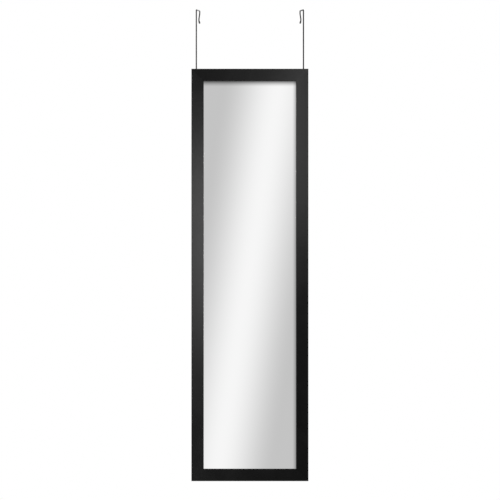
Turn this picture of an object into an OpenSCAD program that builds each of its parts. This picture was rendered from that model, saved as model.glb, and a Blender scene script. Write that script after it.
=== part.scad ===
// Over-the-door mirror: a mitred frame with a full-length glass, hung from two wire door hooks.
//
// Row frame: X to the right, Y from the room towards the door, Z up, in millimetres.
// The origin is the middle of the door's top front edge: the door's face is the plane Y = 0,
// its top is the plane Z = 0, and the mirror faces -Y.

/* [Frame] */
// Overall width of the frame
frame_w = 362; // [300:1:480]
// Overall height of the frame
frame_h = 1276; // [900:1:1600]
// Width of the moulding's flat face
face_w = 38; // [36:0.5:60]
// Depth of the moulding from front to back
frame_t = 18; // [16:0.5:28]
// Thickness of the lip in front of the glass
lip_t = 6; // [4:0.5:8]
// How far the lip covers the glass along each side
lip_cover = 9.5; // [6:0.5:11]
// Radius of the moulding's outer front edge
edge_r = 1; // [0.5:0.1:2.5]
// Chamfer on the front edge beside the glass
lip_chamfer = 1.5; // [0.5:0.1:3]

/* [Glass and backing] */
// Thickness of the mirror glass
glass_t = 3; // [2:0.5:4]
// Thickness of the packing card behind the glass
card_t = 1; // [0.5:0.1:2]
// Thickness of the backing board
board_t = 3; // [2:0.1:4]
// Free play between the glass and the moulding, all round
glass_play = 0.5; // [0.3:0.1:1.5]
// Radius of the glass's ground corners
glass_corner_r = 2; // [0.5:0.5:5]

/* [Hanger wires] */
// Diameter of the hanger wire
wire_d = 4; // [2.5:0.1:4.5]
// From the door's top down to the frame's top edge
hang_drop = 181.5; // [120:0.5:260]
// From the frame's side edge in to the wire
wire_inset = 15; // [14:0.5:17]
// How far each hanger is turned inwards from straight back, and where its stop is
turn = 10.5; // [4:0.5:16]
// From the frame's top edge down to the wire's foot
foot_drop = 101; // [98:1:120]
// Reach of the foot from the wire's own axis into the moulding
foot_len = 10; // [8:0.5:12]
// Bend radius of the foot, at the wire's centre
foot_bend_r = 4; // [3:0.5:5]

/* [Door hooks] */
// Clear space between the hook's two legs at the top
hook_gap = 50; // [46:0.5:60]
// Clear space where the rear leg is drawn in to grip the door
grip_gap = 37.5; // [32:0.5:42]
// Bend radius of the hook's two top corners, at the wire's centre
corner_r = 4; // [3:0.5:6]
// Bend radius where the rear leg turns in and where it turns out
leg_bend_r = 6; // [4:0.5:7]
// Straight length of the rear leg under its top corner
leg_top = 3; // [1:0.5:10]
// Slope of the rear leg's upper stretch towards the door
draw_in = 36; // [30:1:45]
// Slope of the rear leg's flared end, away from the door
flare = 55; // [30:1:65]
// Length of the flared end
flare_len = 9; // [8:0.5:18]
// Length of the dipped tip
tip_len = 7; // [4:0.5:7.5]
// Thickness of the dipped coat on the tip
tip_coat = 0.5; // [0.2:0.1:0.8]

/* [Hanger plates] */
// Width of a hanger plate
plate_w = 24; // [23:0.5:26]
// Height of a hanger plate
plate_h = 40; // [34:1:42]
// Thickness of the plate's sheet
plate_t = 1.2; // [0.8:0.1:1.5]
// From the frame's top edge down to the plate
plate_drop = 50; // [42:1:50]
// Radius of the plate's corners
plate_corner_r = 3; // [1:0.5:4]
// From the plate's edges in to its screws
screw_inset = 4.4; // [4:0.1:4.6]

/* [Fasteners] */
// Diameter of a plate screw's shank
screw_d = 3.5; // [2.5:0.1:3.8]
// Length of a plate screw under its head
screw_len = 13; // [8:0.5:14]
// Diameter of a plate screw's head
head_d = 6.6; // [5.5:0.1:7]
// Height of a plate screw's head
head_h = 2.1; // [1.6:0.1:2.6]
// Length of each wing of a corner nail
nail_wing = 6; // [4:0.5:7]
// Thickness of a corner nail
nail_t = 0.6; // [0.4:0.1:0.8]
// Depth of a corner nail
nail_depth = 10; // [6:0.5:12]
// From the frame's outer edge in to the point of a corner's outer nail
nail_first = 9; // [8:0.5:10]
// From that point on to the point of the inner nail
nail_pitch = 11; // [9:0.5:12]
// Width of a retaining point
point_w = 7; // [5:0.5:10]
// Thickness of a retaining point
point_t = 0.6; // [0.4:0.1:0.8]
// Length of a retaining point over the board
point_out = 10; // [6:0.5:14]
// Length of a retaining point inside the moulding
point_in = 6; // [4:0.5:7]
// Retaining points along a stile
stile_points = 5; // [3:1:8]
// Retaining points along a rail
rail_points = 2; // [2:1:4]

/* [Bumpers] */
// How far the bumpers stand out past the hanger plates, to keep the metal off the door
bumper_stand = 0.2; // [0.1:0.1:2]
// Diameter of a bumper where it is stuck on
bumper_d = 14; // [10:0.5:18]
// Diameter of a bumper's flat face
bumper_face_d = 11; // [8:0.5:14]
// From the frame's edges in to a bumper's centre
bumper_inset = 14; // [11:0.5:18]
// From the frame's top edge down to the upper bumpers
bumper_drop = 140; // [132:1:200]
// From the frame's bottom edge up to the lower bumpers
bumper_rise = 50; // [46:1:120]

/* [Hidden] */

// Clearances
run_gap = 0.1;      // round the wire, where it turns
stop_gap = 0.1;     // between the foot and its pocket when the hanger is at its stop
slot_gap = 0.05;    // round a nail or point in the moulding
pilot_gap = 0.05;   // round a screw's shank in the moulding
hole_gap = 0.25;    // round a screw's shank in the plate
foot_gap = 0.5;     // past the foot's end in its pocket
seat_gap = 0.3;     // between the foot and the roof of its pocket
cut = 1;            // how far a cutting shape runs past the face that it cuts
bend_swell = 0.01;  // what a bend adds to the wire's radius
bend_lap = 0.05;    // how far a straight stretch runs into a bend

// A plate screw's make, as shares of its head and shank
head_crown = 0.72;    // width of the head's flat top, of the head
recess_reach = 0.55;  // length of the cross recess, of the head
recess_slim = 0.29;   // width of the recess, of its length
recess_sink = 0.6;    // depth of the recess, of the head's height
tip_slope = 0.7;      // length of the tip, of the shank's diameter

// The bumpers are just thicker than a wire in its channel
bumper_t = wire_d + 2 * run_gap + plate_t + bumper_stand;

// Levels in Y, and edges in Z
back_y = -bumper_t;
front_y = back_y - frame_t;
frame_top = -hang_drop;
frame_mid = frame_top - frame_h / 2;

// The rabbet behind the lip, and the glass in it
rabbet_w = lip_cover + glass_play;
wood_w = face_w - rabbet_w;
glass_w = frame_w - 2 * (face_w - lip_cover);
glass_h = frame_h - 2 * (face_w - lip_cover);
glass_y = front_y + lip_t;
card_y = glass_y + glass_t;
board_y = card_y + card_t;
point_y = board_y + board_t;

// The wire: its axis stands just clear of the frame's back
wire_r = wire_d / 2;
wire_x = frame_w / 2 - wire_inset;
wire_y = back_y + wire_r + run_gap;
foot_z = frame_top - foot_drop;

// The hook's straight stretches between its bends
hook_span = hook_gap + wire_d;
draw_depth = hook_gap - grip_gap;
draw_len = max(0.5, (draw_depth - 2 * leg_bend_r * (1 - cos(draw_in))) / sin(draw_in));
shaft_len = wire_r - corner_r - foot_z - foot_bend_r;
span_len = hook_span - 2 * corner_r;

// The foot's pocket in the stile
pocket_w = 2 * (foot_len * sin(turn) + wire_r * cos(turn) + stop_gap);
pocket_depth = foot_len - wire_r - run_gap + foot_gap;
bend_reach = foot_bend_r - wire_r - run_gap;
pocket_roof = foot_bend_r - sqrt(pow(foot_bend_r - wire_r, 2) - pow(bend_reach, 2)) + seat_gap;
pocket_floor = -wire_r - seat_gap;

// The hanger plate's channel round the wire, and its screws
channel_r = wire_r + run_gap;
hump_r = channel_r + plate_t;
plate_mid = frame_top - plate_drop - plate_h / 2;
screw_dx = plate_w / 2 - screw_inset;
screw_dz = plate_h / 2 - screw_inset - plate_corner_r;
screw_hole_r = screw_d / 2 + hole_gap;
head_top_d = head_d * head_crown;
recess_l = head_d * recess_reach;
recess_w = recess_l * recess_slim;
recess_h = head_h * recess_sink;

nail_steps = [nail_first, nail_first + nail_pitch];
screw_tip_h = screw_d * tip_slope;
pilot_len = screw_len - plate_t + 4 * pilot_gap;

round_fn = 48;

// ---- placing -----------------------------------------------------------------------------

// Children are drawn for the top side: outer edge on z = 0, inside towards -z.
module on_side(side) {
    across = side == "left" || side == "right";
    angle = side == "top" ? 0 : side == "right" ? 90 : side == "bottom" ? 180 : -90;
    translate([0, 0, frame_mid])
        rotate([0, angle, 0])
            translate([0, 0, (across ? frame_w : frame_h) / 2])
                children();
}

// Children are drawn round one hanger's vertical axis; hand is -1 on the left, 1 on the right.
module at_hanger(hand) {
    translate([hand * wire_x, 0, 0]) children();
}

// A plan outline, drawn with x and z, extruded along Y from y to y + depth.
module along_y(y, depth) {
    translate([0, y + depth, 0])
        rotate([90, 0, 0])
            linear_extrude(height = depth)
                children();
}

// ---- frame -------------------------------------------------------------------------------

// The moulding's section: x runs in depth from the front, y is 0 at the outer edge, -face_w inside.
module moulding_section() {
    difference() {
        polygon([
            [0, 0], [frame_t, 0], [frame_t, -wood_w], [lip_t, -wood_w],
            [lip_t, -face_w], [lip_chamfer, -face_w], [0, -face_w + lip_chamfer]
        ]);
        difference() {
            translate([-cut, -edge_r]) square([edge_r + cut, edge_r + cut]);
            translate([edge_r, -edge_r]) circle(r = edge_r, $fn = round_fn);
        }
    }
}

// One length of moulding, mitred at both ends.
module mitred_length(len) {
    intersection() {
        translate([-len / 2, front_y, 0])
            rotate([90, 0, 90])
                linear_extrude(height = len)
                    moulding_section();
        along_y(front_y - cut, frame_t + 2 * cut)
            polygon([
                [-len / 2, 0], [len / 2, 0],
                [len / 2 - face_w, -face_w], [-len / 2 + face_w, -face_w]
            ]);
    }
}

// The slots that the corner nails and the retaining points make in one side.
module side_slots(len, count) {
    for (end = [-1, 1]) corner_nails_at(end, len, slot_gap);
    retaining_row(len, count, slot_gap);
}

module rail(side) {
    color([0.03, 0.03, 0.03])
        on_side(side)
            difference() {
                mitred_length(frame_w);
                side_slots(frame_w, rail_points);
            }
}

module stile(side, hand) {
    color([0.03, 0.03, 0.03])
        difference() {
            on_side(side)
                difference() {
                    mitred_length(frame_h);
                    side_slots(frame_h, stile_points);
                }
            at_hanger(hand) {
                foot_pocket();
                plate_screw_places()
                    rotate([90, 0, 0])
                        cylinder(h = pilot_len, r = screw_d / 2 + pilot_gap, $fn = round_fn);
            }
        }
}

// The blind pocket for the hanger's foot; its sides are the hanger's two stops.
module foot_pocket() {
    translate([-pocket_w / 2, back_y - pocket_depth, foot_z + pocket_floor])
        cube([pocket_w, pocket_depth + cut, pocket_roof - pocket_floor]);
}

// ---- corner nails ------------------------------------------------------------------------

// Plan of one nail: a V across the mitre, its point towards the middle of the frame.
module nail_plan(grow) {
    t = nail_t / 2 + grow;
    run = (nail_wing + grow) * cos(45);
    tip = t / cos(45);
    polygon([
        [0, -tip], [run + t * cos(45), run - t * cos(45)], [run - t * cos(45), run + t * cos(45)],
        [0, tip], [-run + t * cos(45), run + t * cos(45)], [-run - t * cos(45), run - t * cos(45)]
    ]);
}

// The nails of the corner at one end of a side, in that side's own place.
module corner_nails_at(end, len, grow) {
    for (step = nail_steps)
        translate([end * (len / 2 - step), 0, -step])
            rotate([0, end * 45, 0])
                along_y(back_y - nail_depth - grow, nail_depth + grow + (grow > 0 ? cut : 0))
                    nail_plan(grow);
}

module corner_nails(side, end) {
    color([0.62, 0.62, 0.6])
        on_side(side)
            corner_nails_at(end, frame_w, 0);
}

// ---- glass and backing -------------------------------------------------------------------

// A sheet in the rabbet, with round corners.
module sheet(y, t) {
    r = glass_corner_r;
    translate([0, 0, frame_mid])
        along_y(y, t) {
            square([glass_w - 2 * r, glass_h], center = true);
            square([glass_w, glass_h - 2 * r], center = true);
            for (sx = [-1, 1], sz = [-1, 1])
                translate([sx * (glass_w / 2 - r), sz * (glass_h / 2 - r)])
                    circle(r = r, $fn = round_fn);
        }
}

module mirror_glass() {
    color([0.86, 0.88, 0.88]) sheet(glass_y, glass_t);
}

module packing_card() {
    color([0.62, 0.58, 0.52]) sheet(card_y, card_t);
}

module backing_board() {
    color([0.36, 0.24, 0.15]) sheet(board_y, board_t);
}

// ---- retaining points --------------------------------------------------------------------

// Plan of one point: its sharp end is driven into the moulding, its round end lies on the board.
module point_plan(grow) {
    w = point_w / 2 + grow;
    polygon([[0, point_in + 2 * grow], [-w, point_in / 2], [w, point_in / 2]]);
    translate([-w, -point_out + point_w / 2]) square([2 * w, point_out - point_w / 2 + point_in / 2]);
    translate([0, -point_out + point_w / 2]) circle(r = w, $fn = round_fn);
}

// One row of points, in its side's own place.
module retaining_row(len, count, grow) {
    pitch = (len - 2 * face_w) / count;
    for (i = [0 : count - 1])
        translate([(i - (count - 1) / 2) * pitch, 0, -wood_w])
            along_y(point_y - grow, point_t + 2 * grow)
                point_plan(grow);
}

module retaining_points(side, len, count) {
    color([0.6, 0.6, 0.58])
        on_side(side)
            retaining_row(len, count, 0);
}

// ---- hanger plates -----------------------------------------------------------------------

// The plate's section across the wire: x across, y from the frame's back towards the door.
module plate_section() {
    difference() {
        union() {
            translate([-plate_w / 2, 0]) square([plate_w, plate_t]);
            translate([-hump_r, 0]) square([2 * hump_r, channel_r]);
            translate([0, channel_r]) circle(r = hump_r, $fn = round_fn);
        }
        translate([0, channel_r]) circle(r = channel_r, $fn = round_fn);
        translate([-channel_r, -cut]) square([2 * channel_r, channel_r + cut]);
        translate([-hump_r, -2 * hump_r]) square([2 * hump_r, 2 * hump_r]);
    }
}

// The plate's outline, seen from behind.
module plate_outline() {
    r = plate_corner_r;
    square([plate_w - 2 * r, plate_h], center = true);
    square([plate_w, plate_h - 2 * r], center = true);
    for (sx = [-1, 1], sz = [-1, 1])
        translate([sx * (plate_w / 2 - r), sz * (plate_h / 2 - r)])
            circle(r = r, $fn = round_fn);
}

// Places children at each plate screw, on the frame's back.
module plate_screw_places() {
    for (sx = [-1, 1], sz = [-1, 1])
        translate([sx * screw_dx, back_y, plate_mid + sz * screw_dz])
            children();
}

module hanger_plate(hand) {
    color([0.55, 0.56, 0.57])
        at_hanger(hand)
            difference() {
                intersection() {
                    translate([0, back_y, plate_mid - plate_h / 2])
                        linear_extrude(height = plate_h)
                            plate_section();
                    translate([0, 0, plate_mid])
                        along_y(back_y - cut, bumper_t + 2 * cut)
                            plate_outline();
                }
                plate_screw_places()
                    translate([0, plate_t + cut, 0])
                        rotate([90, 0, 0])
                            cylinder(h = plate_t + 2 * cut, r = screw_hole_r, $fn = round_fn);
            }
}

// A pan-head wood screw, head towards +y, its seat at y = plate_t.
module plate_screw() {
    translate([0, plate_t, 0]) {
        rotate([90, 0, 0]) {
            cylinder(h = screw_len - screw_tip_h, r = screw_d / 2, $fn = round_fn);
            translate([0, 0, screw_len - screw_tip_h])
                cylinder(h = screw_tip_h, r1 = screw_d / 2, r2 = screw_d / 8, $fn = round_fn);
        }
        difference() {
            rotate([-90, 0, 0]) {
                cylinder(h = head_h / 2, r = head_d / 2, $fn = round_fn);
                translate([0, 0, head_h / 2])
                    cylinder(h = head_h / 2, r1 = head_d / 2, r2 = head_top_d / 2, $fn = round_fn);
            }
            for (turned = [0, 90])
                rotate([0, turned, 0])
                    translate([-recess_l / 2, head_h - recess_h, -recess_w / 2])
                        cube([recess_l, recess_h + cut, recess_w]);
        }
    }
}

module plate_screws(hand) {
    color([0.66, 0.66, 0.64])
        at_hanger(hand)
            plate_screw_places()
                plate_screw();
}

// ---- hanger wires ------------------------------------------------------------------------

// A wire bent in the plane of x and z, as a forming machine makes it: each step is
// [length fed, bend radius, bend angle], and it starts at the origin along +z.
// A positive angle bends towards +x. The last step has no bend.
// The wire is a hair thicker in its bends, and the straight stretches run a little way into them.
module formed_wire(steps, r, i = 0) {
    feed = steps[i][0];
    bend_r = steps[i][1];
    angle = steps[i][2];
    last = i == len(steps) - 1;
    start = i == 0 ? 0 : bend_lap;
    translate([0, 0, -start])
        cylinder(h = feed + start + (last ? 0 : bend_lap), r = r, $fn = round_fn);
    if (!last)
        translate([0, 0, feed]) {
            bend(bend_r, angle, r + bend_swell);
            side = sign(angle);
            translate([side * bend_r, 0, 0])
                rotate([0, angle, 0])
                    translate([-side * bend_r, 0, 0])
                        formed_wire(steps, r, i + 1);
        }
}

// One bend that starts along +z at the origin.
module bend(bend_r, angle, r) {
    side = sign(angle);
    translate([side * bend_r, 0, 0])
        rotate([90, 0, 0])
            rotate([0, 0, side > 0 ? 180 - angle : 0])
                rotate_extrude(angle = abs(angle), $fn = round_fn)
                    translate([bend_r, 0]) circle(r = r, $fn = round_fn);
}

foot_steps = [[foot_len - foot_bend_r, foot_bend_r, -90]];
hook_steps = [
    [shaft_len, corner_r, 90],
    [span_len, corner_r, 90],
    [leg_top, leg_bend_r, draw_in],
    [draw_len, leg_bend_r, -draw_in - flare]
];

// Children are drawn in the wire's plane, along its path from the foot's end; this places them.
module hanger_pose(hand) {
    translate([hand * wire_x, wire_y, 0])
        rotate([0, 0, 90 + hand * turn])
            translate([-foot_len, 0, foot_z])
                rotate([0, 90, 0])
                    children();
}

module hanger_wire(hand) {
    color([0.3, 0.3, 0.31])
        hanger_pose(hand)
            formed_wire(concat(foot_steps, hook_steps, [[flare_len, 0, 0]]), wire_r);
}

// Moves children to the end of a wire's path.
module at_wire_end(steps, i = 0) {
    if (i < len(steps)) {
        side = sign(steps[i][2]);
        translate([side * steps[i][1], 0, steps[i][0]])
            rotate([0, steps[i][2], 0])
                translate([-side * steps[i][1], 0, 0])
                    at_wire_end(steps, i + 1) children();
    } else
        children();
}

// The soft coat that the wire's end is dipped in.
module tip_cap(hand) {
    coat_r = wire_r + tip_coat;
    color([0.1, 0.1, 0.1])
        hanger_pose(hand)
            at_wire_end(concat(foot_steps, hook_steps))
                difference() {
                    union() {
                        translate([0, 0, flare_len - tip_len])
                            cylinder(h = tip_len, r = coat_r, $fn = round_fn);
                        translate([0, 0, flare_len])
                            cylinder(h = tip_coat, r1 = coat_r, r2 = wire_r, $fn = round_fn);
                    }
                    cylinder(h = flare_len, r = wire_r, $fn = round_fn);
                }
}

// ---- bumpers -----------------------------------------------------------------------------

module bumper(hand, z) {
    color([0.12, 0.12, 0.12])
        translate([hand * (frame_w / 2 - bumper_inset), back_y, z])
            rotate([-90, 0, 0])
                cylinder(h = bumper_t, r1 = bumper_d / 2, r2 = bumper_face_d / 2, $fn = round_fn);
}

upper_bumper_z = frame_top - bumper_drop;
lower_bumper_z = frame_top - frame_h + bumper_rise;

rail("top");  // top_rail
rail("bottom");  // bottom_rail
stile("left", -1);  // left_stile
stile("right", 1);  // right_stile
corner_nails("top", -1);  // nails_top_left
corner_nails("top", 1);  // nails_top_right
corner_nails("bottom", 1);  // nails_bottom_left
corner_nails("bottom", -1);  // nails_bottom_right
mirror_glass();
packing_card();
backing_board();
retaining_points("top", frame_w, rail_points);  // points_top
retaining_points("bottom", frame_w, rail_points);  // points_bottom
retaining_points("left", frame_h, stile_points);  // points_left
retaining_points("right", frame_h, stile_points);  // points_right
hanger_plate(-1);  // left_hanger_plate
hanger_plate(1);  // right_hanger_plate
plate_screws(-1);  // left_plate_screws
plate_screws(1);  // right_plate_screws
bumper(-1, upper_bumper_z);  // bumper_top_left
bumper(1, upper_bumper_z);  // bumper_top_right
bumper(-1, lower_bumper_z);  // bumper_bottom_left
bumper(1, lower_bumper_z);  // bumper_bottom_right
hanger_wire(-1);  // left_hanger_wire
tip_cap(-1);  // left_tip_cap
hanger_wire(1);  // right_hanger_wire
tip_cap(1);  // right_tip_cap
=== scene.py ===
"""The finish of an over-the-door mirror: a black foil-wrapped frame, its glass and its wire hangers."""

import math

import bmesh
import bpy
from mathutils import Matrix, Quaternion, Vector


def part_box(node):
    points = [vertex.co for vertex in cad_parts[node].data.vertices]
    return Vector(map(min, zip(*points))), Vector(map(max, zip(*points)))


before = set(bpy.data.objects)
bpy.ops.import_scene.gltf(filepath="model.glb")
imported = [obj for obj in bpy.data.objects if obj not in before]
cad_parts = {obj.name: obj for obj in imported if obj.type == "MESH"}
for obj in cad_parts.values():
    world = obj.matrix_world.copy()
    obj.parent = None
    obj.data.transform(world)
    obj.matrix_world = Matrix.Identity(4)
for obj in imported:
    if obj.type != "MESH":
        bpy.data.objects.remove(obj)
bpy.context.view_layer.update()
MM = 0.001

# ---- sizes taken from the frame ----------------------------------------------------------

top_rail_low, top_rail_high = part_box("top_rail")
bottom_rail_low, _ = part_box("bottom_rail")
glass_low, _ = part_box("mirror_glass")

frame_half_w = top_rail_high.x
frame_top = top_rail_high.z
frame_bottom = bottom_rail_low.z
frame_half_h = (frame_top - frame_bottom) / 2
frame_mid = (frame_top + frame_bottom) / 2
frame_front = top_rail_low.y
frame_back = top_rail_high.y
rail_face = top_rail_high.z - top_rail_low.z
glass_front = glass_low.y

# ---- how the photograph was taken --------------------------------------------------------

PHOTO_PIXELS = 500
SENSOR_W = 36.0
camera_distance = 12.0
# The frame's outline in the photograph, in pixels.
frame_left_px = 191.4
frame_right_px = 308.4
frame_top_px = 68.8
frame_bottom_px = 481.1

metres_per_px = 2 * frame_half_w / (frame_right_px - frame_left_px)
centre_px = PHOTO_PIXELS / 2
camera_x = (centre_px - (frame_left_px + frame_right_px) / 2) * metres_per_px
camera_z = frame_mid + ((frame_top_px + frame_bottom_px) / 2 - centre_px) * metres_per_px


def add_camera():
    """Looks straight at the door, and puts the frame's outline where the photograph has it."""
    data = bpy.data.cameras.new("camera")
    data.sensor_width = SENSOR_W
    data.lens = SENSOR_W * camera_distance / (PHOTO_PIXELS * metres_per_px)
    data.clip_end = 100.0
    camera = bpy.data.objects.new("camera", data)
    camera.location = (camera_x, frame_front - camera_distance, camera_z)
    camera.rotation_euler = (math.radians(90), 0, 0)
    bpy.context.scene.collection.objects.link(camera)
    bpy.context.scene.camera = camera


# ---- shader nodes ------------------------------------------------------------------------

def give(tree, socket, value):
    """Feeds a socket from another node's output, or sets it to a plain value."""
    if isinstance(value, bpy.types.NodeSocket):
        tree.links.new(value, socket)
    else:
        socket.default_value = value


def put(tree, kind, sockets=None, **settings):
    """Adds a shader node. sockets gives each input a value or the output that feeds it."""
    node = tree.nodes.new(kind)
    for name, value in settings.items():
        setattr(node, name, value)
    for name, value in (sockets or {}).items():
        give(tree, node.inputs[name], value)
    return node


def calc(tree, operation, *values):
    """The result of one Math node."""
    return put(tree, "ShaderNodeMath", dict(enumerate(values)), operation=operation).outputs[0]


def remap(tree, value, low, high, to_low, to_high, smooth=False):
    """value, moved from one span to another and held inside it."""
    sockets = {"Value": value, "From Min": low, "From Max": high, "To Min": to_low, "To Max": to_high}
    kind = "SMOOTHSTEP" if smooth else "LINEAR"
    return put(tree, "ShaderNodeMapRange", sockets, interpolation_type=kind).outputs["Result"]


def mix(tree, share, first, second):
    """first where share is 0, second where it is 1."""
    sockets = {"Factor": share, "A": first, "B": second}
    return put(tree, "ShaderNodeMix", sockets, data_type="FLOAT").outputs[0]


def blend_colour(tree, share, first, second):
    """The same for colours, whose sockets on the Mix node are numbers 6 and 7."""
    sockets = {"Factor": share, 6: first, 7: second}
    return put(tree, "ShaderNodeMix", sockets, data_type="RGBA").outputs[2]


def tint(tree, base, mask, strength, colour):
    """base with a colour laid over it where the mask is, as thickly as strength says."""
    return blend_colour(tree, calc(tree, "MULTIPLY", mask, strength), base, colour)


def scaled_noise(tree, place, scale, detail, roughness, distortion=0.0):
    """Soft noise from 0 to 1, with about scale patches to the metre."""
    sockets = {"Vector": place, "Scale": scale, "Detail": detail, "Roughness": roughness,
               "Distortion": distortion}
    return put(tree, "ShaderNodeTexNoise", sockets).outputs[0]


def noise(tree, place, size, detail=3.0, roughness=0.5):
    """The same, with patches about size metres across."""
    return scaled_noise(tree, place, 1 / size, detail, roughness)


def stretched(tree, place, scale):
    """Coordinates multiplied by scale on each axis."""
    return put(tree, "ShaderNodeMapping", {"Vector": place, "Scale": scale}).outputs[0]


def bump(tree, height, depth, strength=1.0):
    """A normal from height, a value from 0 to 1 that stands for depth metres."""
    sockets = {"Height": height, "Distance": depth, "Strength": strength}
    return put(tree, "ShaderNodeBump", sockets).outputs[0]


def grey(value):
    return (value, value, value, 1.0)


# ---- effects for the finishes ------------------------------------------------------------

def new_group(name, settings, results):
    """An empty effect, which is given a Place and the named settings with their usual values.

    Returns its tree, the sockets that it is given and the ones that it has to feed.
    """
    tree = bpy.data.node_groups.new(name, "ShaderNodeTree")
    tree.interface.new_socket("Place", in_out="INPUT", socket_type="NodeSocketVector")
    for socket, usual in settings.items():
        made = tree.interface.new_socket(socket, in_out="INPUT", socket_type="NodeSocketFloat")
        made.default_value = usual
    for socket in results:
        tree.interface.new_socket(socket, in_out="OUTPUT", socket_type="NodeSocketFloat")
    source = tree.nodes.new("NodeGroupInput")
    result = tree.nodes.new("NodeGroupOutput")
    return tree, source.outputs, result.inputs


def make_handled_surface():
    """Faint cloudy smears and the fine unevenness of a coat, which move the gloss of most finishes."""
    tree, given, result = new_group(
        "handled surface",
        {"Smear Size": 60 * MM, "Grain Size": 0.6 * MM, "Roughness": 0.4, "Variation": 0.06},
        ["Roughness", "Smear", "Grain"],
    )
    smear_share = 0.7
    grain_share = 0.3
    smear_scale = calc(tree, "DIVIDE", 1.0, given["Smear Size"])
    grain_scale = calc(tree, "DIVIDE", 1.0, given["Grain Size"])
    smear = scaled_noise(tree, given["Place"], smear_scale, 4.0, 0.6, distortion=0.8)
    smear = remap(tree, smear, 0.35, 0.7, 0.0, 1.0, smooth=True)
    grain = scaled_noise(tree, given["Place"], grain_scale, 2.0, 0.5)
    both = calc(tree, "ADD",
                calc(tree, "MULTIPLY", smear, smear_share),
                calc(tree, "MULTIPLY", grain, grain_share))
    swing = calc(tree, "MULTIPLY", calc(tree, "SUBTRACT", both, 0.5), given["Variation"])
    give(tree, result["Roughness"], calc(tree, "ADD", given["Roughness"], swing))
    give(tree, result["Smear"], smear)
    give(tree, result["Grain"], grain)
    return tree


def make_rubbed_edges():
    """1 in patches along outer edges, where a finish is rubbed or catches dirt, 0 on flat faces."""
    tree, given, result = new_group(
        "rubbed edges", {"Width": 0.6 * MM, "Patch Size": 10 * MM}, ["Mask"])
    rounded = put(tree, "ShaderNodeBevel", {"Radius": given["Width"]}, samples=4).outputs[0]
    flat = put(tree, "ShaderNodeNewGeometry").outputs["True Normal"]
    agree = put(tree, "ShaderNodeVectorMath", {0: rounded, 1: flat}, operation="DOT_PRODUCT")
    edge = remap(tree, agree.outputs["Value"], 0.98, 0.8, 0.0, 1.0)
    patch_scale = calc(tree, "DIVIDE", 1.0, given["Patch Size"])
    patches = scaled_noise(tree, given["Place"], patch_scale, 5.0, 0.65)
    patches = remap(tree, patches, 0.45, 0.62, 0.0, 1.0)
    give(tree, result["Mask"], calc(tree, "MULTIPLY", edge, patches))
    return tree


def make_fibres():
    """The felted fibres of pressed board and card: streaks that lie every way, and flecks of bark."""
    tree, given, result = new_group(
        "pressed fibres", {"Fibre Size": 1.2 * MM}, ["Fibres", "Flecks", "Height"])
    ways = (0.0, 60.0, 120.0)
    fibre_stretch = 5.0
    fleck_fineness = 4.0
    fleck_rise = 0.15
    scale = calc(tree, "DIVIDE", 1.0, given["Fibre Size"])
    fine_scale = calc(tree, "MULTIPLY", scale, fleck_fineness)
    total = 0.0
    flecks = 0.0
    for degrees in ways:
        sockets = {"Vector": given["Place"], "Rotation": (0, math.radians(degrees), 0),
                   "Scale": (1.0, 1.0, fibre_stretch)}
        turned = put(tree, "ShaderNodeMapping", sockets, vector_type="TEXTURE").outputs[0]
        streaks = scaled_noise(tree, turned, scale, 4.0, 0.65)
        slivers = remap(tree, scaled_noise(tree, turned, fine_scale, 2.0, 0.5), 0.62, 0.74, 0.0, 1.0)
        total = calc(tree, "ADD", total, streaks)
        flecks = calc(tree, "MAXIMUM", flecks, slivers)
    average = calc(tree, "DIVIDE", total, len(ways))
    height = calc(tree, "ADD", average, calc(tree, "MULTIPLY", flecks, fleck_rise))
    give(tree, result["Fibres"], remap(tree, average, 0.38, 0.62, 0.0, 1.0))
    give(tree, result["Flecks"], flecks)
    give(tree, result["Height"], height)
    return tree


HANDLED = make_handled_surface()
RUBBED = make_rubbed_edges()
FIBRES = make_fibres()


def effect(tree, group, **sockets):
    """Places an effect in a material; its socket names are written with underscores here."""
    node = put(tree, "ShaderNodeGroup", node_tree=group)
    for name, value in sockets.items():
        give(tree, node.inputs[name.replace("_", " ").title()], value)
    return node.outputs


# ---- finishes ----------------------------------------------------------------------------

def new_finish(name):
    """A material with a Principled shader. Returns it, its tree, the shader and Object coordinates."""
    material = bpy.data.materials.new(name)
    material.use_nodes = True
    tree = material.node_tree
    shader = tree.nodes["Principled BSDF"]
    place = put(tree, "ShaderNodeTexCoord").outputs["Object"]
    return material, tree, shader, place


def feed(tree, shader, **sockets):
    """Feeds the shader, whose socket names are written with underscores here."""
    for name, value in sockets.items():
        give(tree, shader.inputs[name.replace("_", " ").title().replace("Ior", "IOR")], value)


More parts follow.
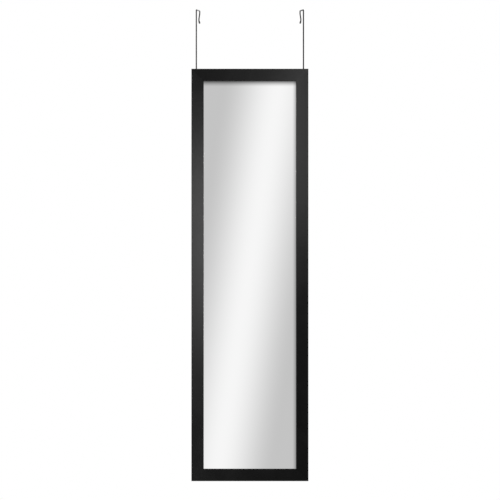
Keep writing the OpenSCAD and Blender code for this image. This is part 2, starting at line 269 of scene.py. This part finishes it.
def foil_wrapped_board():
    """Moulding in satin black foil, bare board where the saw, the router and the back show it."""
    # How deep each foiled surface counts: the outer edges, the face, the lip and the back.
    edge_skin, face_skin, lip_skin, back_skin = 0.3 * MM, 1.1 * MM, 2 * MM, 0.05 * MM
    lap = (6.3 * MM, 6.8 * MM)
    mitre_line = (0.05 * MM, 0.22 * MM)

    material, tree, shader, place = new_finish("satin black foil on board")
    x, y, z = put(tree, "ShaderNodeSeparateXYZ", {0: place}).outputs
    off_middle = calc(tree, "ABSOLUTE", calc(tree, "SUBTRACT", z, frame_mid))
    from_side = calc(tree, "SUBTRACT", frame_half_w, calc(tree, "ABSOLUTE", x))
    from_end = calc(tree, "SUBTRACT", frame_half_h, off_middle)
    rim = calc(tree, "MINIMUM", from_side, from_end)

    # The foil goes round the front, the outer edge and the lip, and laps a little onto the back.
    inside = calc(tree, "GREATER_THAN", rim, edge_skin)
    behind_face = calc(tree, "GREATER_THAN", y, frame_front + face_skin)
    before_lip = calc(tree, "LESS_THAN", rim, rail_face - lip_skin)
    on_back = calc(tree, "GREATER_THAN", y, frame_back - back_skin)
    wavy_edge = remap(tree, noise(tree, place, 60 * MM), 0.3, 0.7, *lap)
    lapped = calc(tree, "MULTIPLY", on_back, calc(tree, "LESS_THAN", rim, wavy_edge))
    cut = calc(tree, "MULTIPLY", calc(tree, "MULTIPLY", inside, behind_face), before_lip)
    bare = calc(tree, "MULTIPLY", cut, calc(tree, "SUBTRACT", 1.0, lapped))
    off_mitre = calc(tree, "ABSOLUTE", calc(tree, "SUBTRACT", from_side, from_end))
    mitre = remap(tree, off_mitre, *mitre_line, 1.0, 0.0)
    in_stile = calc(tree, "LESS_THAN", from_side, from_end)

    coat = effect(tree, HANDLED, place=place, smear_size=90 * MM, grain_size=0.7 * MM,
                  roughness=0.36, variation=0.05)
    worn = effect(tree, RUBBED, place=place, width=0.7 * MM, patch_size=12 * MM)["Mask"]
    foil = blend_colour(tree, coat["Smear"], grey(0.0038), grey(0.005))
    foil = tint(tree, foil, worn, 0.2, (0.02, 0.019, 0.018, 1.0))

    fibres = effect(tree, FIBRES, place=place, fibre_size=1.1 * MM)
    board = blend_colour(tree, fibres["Fibres"], (0.27, 0.17, 0.095, 1.0), (0.43, 0.30, 0.18, 1.0))
    stain = remap(tree, noise(tree, place, 50 * MM, 4.0), 0.35, 0.7, 0.0, 0.35)
    board = blend_colour(tree, stain, board, (0.30, 0.21, 0.13, 1.0))
    board = tint(tree, board, fibres["Flecks"], 0.5, (0.15, 0.085, 0.045, 1.0))
    board = tint(tree, board, in_stile, 0.12, (0.25, 0.17, 0.1, 1.0))
    board = blend_colour(tree, mitre, board, (0.06, 0.04, 0.025, 1.0))

    height = mix(tree, bare, calc(tree, "MULTIPLY", coat["Grain"], 0.8), fibres["Height"])
    height = calc(tree, "SUBTRACT", height, mitre)
    feed(tree, shader,
         base_color=blend_colour(tree, bare, foil, board),
         roughness=mix(tree, bare, coat["Roughness"], 0.82),
         specular_ior_level=0.25,
         normal=bump(tree, height, 0.05 * MM, 0.6))
    return material


def silvered_glass():
    """A silvered plate: bright on its face, grey paint over the silver at the back."""
    face_skin = 0.2 * MM
    material, tree, shader, place = new_finish("silvered glass")
    y = put(tree, "ShaderNodeSeparateXYZ", {0: place}).outputs[1]
    silver = calc(tree, "LESS_THAN", y, glass_front + face_skin)
    face = effect(tree, HANDLED, place=place, smear_size=160 * MM, grain_size=4 * MM,
                  roughness=0.0015, variation=0.002)
    ripple = noise(tree, place, 110 * MM, 1.0)
    feed(tree, shader,
         base_color=blend_colour(tree, silver, grey(0.13), grey(0.888)),
         metallic=silver,
         roughness=mix(tree, silver, 0.5, face["Roughness"]),
         coat_weight=1.0,
         coat_roughness=0.0,
         coat_ior=1.52,
         normal=bump(tree, ripple, 0.004 * MM, 0.2))
    return material


def packing_card():
    """Grey card of pressed waste paper, with darker flecks in it."""
    material, tree, shader, place = new_finish("grey packing card")
    fibres = effect(tree, FIBRES, place=place, fibre_size=1.6 * MM)
    card = blend_colour(tree, fibres["Fibres"], (0.36, 0.32, 0.26, 1.0), (0.52, 0.47, 0.39, 1.0))
    feed(tree, shader,
         base_color=tint(tree, card, fibres["Flecks"], 0.5, (0.2, 0.17, 0.13, 1.0)),
         roughness=0.9,
         specular_ior_level=0.3,
         normal=bump(tree, fibres["Height"], 0.06 * MM))
    return material


def hardboard():
    """Brown pressed board with the print of the wire screen that it was pressed on."""
    screen_pitch = 0.8 * MM
    material, tree, shader, place = new_finish("brown hardboard")
    fibres = effect(tree, FIBRES, place=place, fibre_size=1.5 * MM)
    x, _, z = put(tree, "ShaderNodeSeparateXYZ", {0: place}).outputs
    ridges = []
    for across in (x, z):
        wave = calc(tree, "SINE", calc(tree, "MULTIPLY", across, math.pi / screen_pitch))
        ridges.append(calc(tree, "MULTIPLY", wave, wave))
    screen = calc(tree, "MAXIMUM", *ridges)
    cloud = remap(tree, noise(tree, place, 140 * MM, 5.0, 0.6), 0.3, 0.7, 0.0, 1.0)
    brown = blend_colour(tree, fibres["Fibres"], (0.085, 0.044, 0.021, 1.0), (0.165, 0.092, 0.046, 1.0))
    brown = tint(tree, brown, cloud, 0.4, (0.12, 0.07, 0.037, 1.0))
    brown = tint(tree, brown, fibres["Flecks"], 0.4, (0.22, 0.135, 0.07, 1.0))
    brown = tint(tree, brown, screen, 0.22, (0.05, 0.026, 0.013, 1.0))
    height = calc(tree, "SUBTRACT", fibres["Height"], calc(tree, "MULTIPLY", screen, 0.6))
    feed(tree, shader,
         base_color=brown,
         roughness=remap(tree, fibres["Fibres"], 0.0, 1.0, 0.62, 0.78),
         specular_ior_level=0.3,
         normal=bump(tree, height, 0.12 * MM))
    return material


def plated_steel(name, tone, roughness, line_scale):
    """Zinc-plated or rolled steel: a faint crystal pattern, drawn lines and a little tarnish.

    line_scale says how close the drawn lines' pattern is on each axis: least along their run.
    """
    crystal_size = 1.5 * MM
    bright = tuple(c * 1.06 for c in tone) + (1.0,)
    dull = tuple(c * 0.78 for c in tone) + (1.0,)

    material, tree, shader, place = new_finish(name)
    crystals = put(tree, "ShaderNodeTexVoronoi", {"Vector": place, "Scale": 1 / crystal_size})
    crystal = put(tree, "ShaderNodeSeparateXYZ", {0: crystals.outputs["Color"]}).outputs[0]
    drawn = noise(tree, stretched(tree, place, line_scale), 0.5 * MM, 3.0)
    coat = effect(tree, HANDLED, place=place, smear_size=12 * MM, grain_size=0.4 * MM,
                  roughness=roughness, variation=0.16)
    metal = blend_colour(tree, calc(tree, "MULTIPLY", crystal, 0.5), bright, dull)
    metal = tint(tree, metal, coat["Smear"], 0.45, (0.33, 0.33, 0.31, 1.0))
    feed(tree, shader,
         base_color=metal,
         metallic=1.0,
         roughness=coat["Roughness"],
         normal=bump(tree, drawn, 0.01 * MM, 0.7))
    return material


def coated_wire():
    """Steel wire in a semi-gloss black coat that has rubbed thin in patches."""
    material, tree, shader, place = new_finish("black coated wire")
    coat = effect(tree, HANDLED, place=place, smear_size=20 * MM, grain_size=0.9 * MM,
                  roughness=0.27, variation=0.12)
    thin = remap(tree, noise(tree, place, 5 * MM, 5.0, 0.7), 0.62, 0.74, 0.0, 0.5)
    feed(tree, shader,
         base_color=blend_colour(tree, thin, grey(0.008), grey(0.02)),
         roughness=coat["Roughness"],
         specular_ior_level=0.35,
         normal=bump(tree, coat["Grain"], 0.02 * MM, 0.7))
    return material


def dipped_vinyl():
    """The soft black skin that a wire's tip gets by being dipped."""
    material, tree, shader, place = new_finish("dipped black vinyl")
    skin = effect(tree, HANDLED, place=place, smear_size=6 * MM, grain_size=0.7 * MM,
                  roughness=0.45, variation=0.15)
    feed(tree, shader,
         base_color=blend_colour(tree, skin["Smear"], grey(0.008), grey(0.013)),
         roughness=skin["Roughness"],
         specular_ior_level=0.4,
         normal=bump(tree, skin["Grain"], 0.05 * MM, 0.8))
    return material


def bumper_rubber():
    """Moulded black rubber with a little dust in its grain."""
    material, tree, shader, place = new_finish("matt black rubber")
    skin = effect(tree, HANDLED, place=place, smear_size=9 * MM, grain_size=0.5 * MM,
                  roughness=0.68, variation=0.16)
    dust = remap(tree, noise(tree, place, 2 * MM, 5.0, 0.7), 0.5, 0.75, 0.0, 0.35)
    rubber = blend_colour(tree, skin["Smear"], grey(0.012), grey(0.02))
    feed(tree, shader,
         base_color=blend_colour(tree, dust, rubber, (0.07, 0.068, 0.062, 1.0)),
         roughness=skin["Roughness"],
         specular_ior_level=0.35,
         normal=bump(tree, skin["Grain"], 0.08 * MM, 0.8))
    return material


def dress(finish, *nodes):
    """Gives CAD nodes a finish."""
    for name in nodes:
        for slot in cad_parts[name].material_slots:
            slot.material = finish


SIDES = ("left", "right")
ENDS = ("top", "bottom")
CORNERS = [f"{end}_{side}" for end in ENDS for side in SIDES]


def dress_all():
    dress(foil_wrapped_board(), "top_rail", "bottom_rail", "left_stile", "right_stile")
    dress(silvered_glass(), "mirror_glass")
    dress(packing_card(), "packing_card")
    dress(hardboard(), "backing_board")

    steel = (0.5, 0.5, 0.48)
    nails = plated_steel("rolled steel nails", steel, roughness=0.42, line_scale=(1, 0.1, 1))
    points = plated_steel("spring steel points", steel, roughness=0.35, line_scale=(1, 1, 0.1))
    dress(nails, *[f"nails_{corner}" for corner in CORNERS])
    dress(points, *[f"points_{row}" for row in SIDES + ENDS])

    zinc = (0.62, 0.625, 0.63)
    plates = plated_steel("zinc plated sheet", zinc, roughness=0.3, line_scale=(1, 1, 0.08))
    screws = plated_steel("zinc plated screws", zinc, roughness=0.26, line_scale=(1, 1, 1))
    dress(plates, *[f"{side}_hanger_plate" for side in SIDES])
    dress(screws, *[f"{side}_plate_screws" for side in SIDES])

    dress(bumper_rubber(), *[f"bumper_{corner}" for corner in CORNERS])
    dress(coated_wire(), *[f"{side}_hanger_wire" for side in SIDES])
    dress(dipped_vinyl(), *[f"{side}_tip_cap" for side in SIDES])


# ---- studio: the light tent --------------------------------------------------------------

# What the glass reflects: a soft slanting streak on an even grey, measured where the streak shows
# in the photograph, in pixels.
streak_top_px = (277.0, 96.0)
streak_bottom_px = (219.0, 460.0)
streak_half_width_px = 57.0
streak_period_px = 160.0

# Levels of the tent, each as (between the streaks, in a streak): what the glass shows of it in the
# photograph and elsewhere, and what gloss on the other finishes shows, from round the camera, where
# the studio is dark, and from elsewhere. Their matt light comes from an even level.
glass_shows_in_photo = (0.614, 1.035)
glass_shows_elsewhere = (0.5, 1.0)
tent_round_camera = (0.0, 0.03)
tent_elsewhere = (0.32, 0.95)
tent_on_matt = 0.72
# How far off the camera's line the studio stays dark, and where the tent has its full level.
dark_studio_angle = (math.radians(20), math.radians(32))

# The tent's dark edge shows, out of focus, along the top and the right of the glass. Each is where
# the glass ends, how wide the edge is, both in pixels, how much it darkens, and how steeply.
top_edge = (81.3, 5.5, 0.88, 1.35)
right_edge = (296.1, 4.0, 0.58, 1.6)

# Where each fade starts and where it ends, in pixels. The photograph's levels and the dark edges
# fade away from its centre, across and up, and an edge also fades outwards, past the glass.
levels_fade_px = ((55.0, 110.0), (225.0, 330.0))
edges_fade_px = ((55.0, 70.0), (232.0, 250.0))
past_glass_px = (2.0, 12.0)


def near_centre(tree, in_front, far_across, far_up, fades):
    """1 near the photograph's centre, 0 far from it and behind."""
    fade_across, fade_up = fades
    return calc(tree, "MULTIPLY",
                remap(tree, far_across, *fade_across, in_front, 0.0, smooth=True),
                remap(tree, far_up, *fade_up, 1.0, 0.0, smooth=True))


def add_world():
    """White behind the object; in reflections, a light tent with soft slanting streaks."""
    world = bpy.data.worlds.new("light tent")
    bpy.context.scene.world = world
    world.use_nodes = True
    tree = world.node_tree
    tree.nodes.clear()
    way = put(tree, "ShaderNodeTexCoord").outputs["Generated"]
    ray = put(tree, "ShaderNodeLightPath").outputs
    x, y, z = put(tree, "ShaderNodeSeparateXYZ", {0: way}).outputs
    px_per_radian = camera_distance / metres_per_px
    across = calc(tree, "MULTIPLY", calc(tree, "ARCSINE", x), px_per_radian)
    up = calc(tree, "MULTIPLY", calc(tree, "ARCSINE", z), px_per_radian)
    far_across = calc(tree, "ABSOLUTE", across)
    far_up = calc(tree, "ABSOLUTE", up)
    in_front = calc(tree, "LESS_THAN", y, 0.0)

    slant = (streak_top_px[0] - streak_bottom_px[0]) / (streak_top_px[1] - streak_bottom_px[1])
    middle_px = streak_top_px[0] + slant * (centre_px - streak_top_px[1]) - centre_px
    upright = calc(tree, "ADD", calc(tree, "ADD", across, -middle_px), calc(tree, "MULTIPLY", up, slant))
    off_streak = calc(tree, "PINGPONG", upright, streak_period_px / 2)
    streak = remap(tree, off_streak, 0.0, streak_half_width_px, 1.0, 0.0, smooth=True)

    in_view = near_centre(tree, in_front, far_across, far_up, levels_fade_px)
    off_camera = calc(tree, "ARCCOSINE", calc(tree, "MULTIPLY", y, -1.0))
    elsewhere = remap(tree, off_camera, *dark_studio_angle, 0.0, 1.0, smooth=True)
    # Only the glass is smooth enough to send out singular rays, which tells it from other gloss.
    levels = [
        mix(tree, ray["Is Singular Ray"],
            mix(tree, elsewhere, near, far),
            mix(tree, in_view, glass, photo))
        for near, far, glass, photo
        in zip(tent_round_camera, tent_elsewhere, glass_shows_elsewhere, glass_shows_in_photo)
    ]
    tent = mix(tree, streak, *levels)

    near_glass = near_centre(tree, in_front, far_across, far_up, edges_fade_px)
    top_px = calc(tree, "SUBTRACT", centre_px, up)
    right_px = calc(tree, "ADD", centre_px, across)
    edges = ((top_px, 1, top_edge), (right_px, -1, right_edge))
    for from_px, inwards, (end_px, width_px, dark, steep) in edges:
        holds_to, gone_by = (end_px - inwards * px for px in past_glass_px)
        edge = remap(tree, from_px, end_px + inwards * width_px, end_px, 0.0, 1.0)
        past = remap(tree, from_px, holds_to, gone_by, 1.0, 0.0, smooth=True)
        shade = calc(tree, "MULTIPLY", calc(tree, "POWER", edge, steep), dark)
        shade = calc(tree, "MULTIPLY", calc(tree, "MULTIPLY", shade, past), near_glass)
        tent = calc(tree, "MULTIPLY", tent, calc(tree, "SUBTRACT", 1.0, shade))

    tent = mix(tree, ray["Is Glossy Ray"], tent_on_matt, tent)
    seen = put(tree, "ShaderNodeBackground", {"Color": grey(1.0), "Strength": 1.0}).outputs[0]
    lit = put(tree, "ShaderNodeBackground", {"Color": tent, "Strength": 1.0}).outputs[0]
    both = put(tree, "ShaderNodeMixShader", {0: ray["Is Camera Ray"], 1: lit, 2: seen}).outputs[0]
    put(tree, "ShaderNodeOutputWorld", {"Surface": both})


# ---- studio: the floor -------------------------------------------------------------------

door_height = 2.032
floor_radius = 6.0
# The shares of its radius where it starts to fade out and where it is gone.
floor_fades = (0.35, 0.95)


def add_floor():
    """A pale floor a door's height down, which fades out towards its rim.

    It doesn't show from below or in reflections.
    """
    mesh = bmesh.new()
    bmesh.ops.create_circle(mesh, cap_ends=True, segments=96, radius=floor_radius)
    bmesh.ops.translate(mesh, verts=mesh.verts, vec=(0, 0, -door_height))
    data = bpy.data.meshes.new("floor")
    mesh.to_mesh(data)
    mesh.free()
    floor = bpy.data.objects.new("floor", data)
    bpy.context.scene.collection.objects.link(floor)

    material, tree, shader, place = new_finish("pale floor")
    speckle = noise(tree, place, 20 * MM, 4.0)
    feed(tree, shader,
         base_color=blend_colour(tree, speckle, grey(0.84), grey(0.88)),
         roughness=0.6,
         specular_ior_level=0.2)
    level = stretched(tree, place, (1, 1, 0))
    distance = put(tree, "ShaderNodeVectorMath", {0: level}, operation="LENGTH").outputs["Value"]
    fade_from, gone_by = (floor_radius * share for share in floor_fades)
    rim = remap(tree, distance, fade_from, gone_by, 0.0, 1.0, smooth=True)
    below = put(tree, "ShaderNodeNewGeometry").outputs["Backfacing"]
    mirrored = put(tree, "ShaderNodeLightPath").outputs["Is Glossy Ray"]
    hidden = calc(tree, "MAXIMUM", calc(tree, "MAXIMUM", rim, below), mirrored)
    clear = put(tree, "ShaderNodeBsdfTransparent").outputs[0]
    faded = put(tree, "ShaderNodeMixShader", {0: hidden, 1: shader.outputs[0], 2: clear}).outputs[0]
    give(tree, tree.nodes["Material Output"].inputs["Surface"], faded)
    data.materials.append(material)


# ---- studio: the lamps -------------------------------------------------------------------

# The strip lamps hang this far in front of the frame, and their highlights run down its face. Each
# is its name, the node that it lights, its place across, its lower and upper end, its width, its
# power in watts and its roll in radians. The stiles' strips hang inwards of them and the top rail's
# hangs below its top, so that the frame's outer sides don't catch them and glare from behind.
strip_distance = 1.0
strips = (
    ("left stile strip", "left_stile", -0.049, (-1.04, -0.41), 0.1, 4.7, 0.18),
    ("left stile low strip", "left_stile", -0.019, (-1.65, -1.35), 0.1, 0.25, 0.0),
    ("right stile strip", "right_stile", 0.009, (-0.67, 0.2), 0.08, 4.4, 0.1),
    ("top rail strip", "top_rail", 0.349, (-0.6, frame_top - 0.01), 0.08, 5.1, -0.1),
    ("bottom rail strip", "bottom_rail", -0.319, (-1.04, -0.41), 0.1, 4.7, -0.18),
    ("bottom rail low strip", "bottom_rail", -0.349, (-1.65, -1.35), 0.1, 0.25, 0.0),
)


def add_lamp(name, place, aim, size, power, roll=0.0, only=()):
    """A soft lamp, out of the camera's sight. It lights only the given nodes, or all but the glass."""
    data = bpy.data.lights.new(name, "AREA")
    data.shape = "RECTANGLE"
    data.size, data.size_y = size
    data.energy = power
    lamp = bpy.data.objects.new(name, data)
    lamp.location = place
    towards = (Vector(aim) - Vector(place)).to_track_quat("-Z", "Y")
    lamp.rotation_euler = (towards @ Quaternion((0, 0, 1), roll)).to_euler()
    lamp.visible_camera = False
    bpy.context.scene.collection.objects.link(lamp)

    linked = bpy.data.collections.new(f"linked to the {name}")
    lamp.light_linking.receiver_collection = linked
    for node in only or ("mirror_glass",):
        linked.objects.link(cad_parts[node])
    for member in linked.collection_objects:
        member.light_linking.link_state = "INCLUDE" if only else "EXCLUDE"


def add_strip(name, node, across, ends, width, power, roll):
    """A strip lamp that faces the frame and lights one node of it."""
    low, high = ends
    place = (across, frame_front - strip_distance, (low + high) / 2)
    aim = (across, 0, place[2])
    add_lamp(name, place, aim, (width, high - low), power, roll, (node,))


def add_lamps():
    """Two soft lamps for the whole object, the strips, and one lamp for a single wire."""
    middle = (0, 0, frame_mid)
    soft = (3.0, 3.0)
    add_lamp("key lamp", (-2.8, -3.0, 1.9), middle, soft, power=58)
    add_lamp("back lamp", (2.2, 3.4, 1.2), middle, soft, power=60)
    for strip in strips:
        add_strip(*strip)
    # Beside the left wire, which shows paler than the right one.
    add_lamp("wire lamp", (-0.62, -0.42, -0.04), (-0.166, 0, -0.08), (0.3, 0.3), power=3.5,
             only=("left_hanger_wire", "left_tip_cap"))


add_camera()
dress_all()
add_world()
add_floor()
add_lamps()

bpy.context.scene.view_settings.view_transform = "Standard"
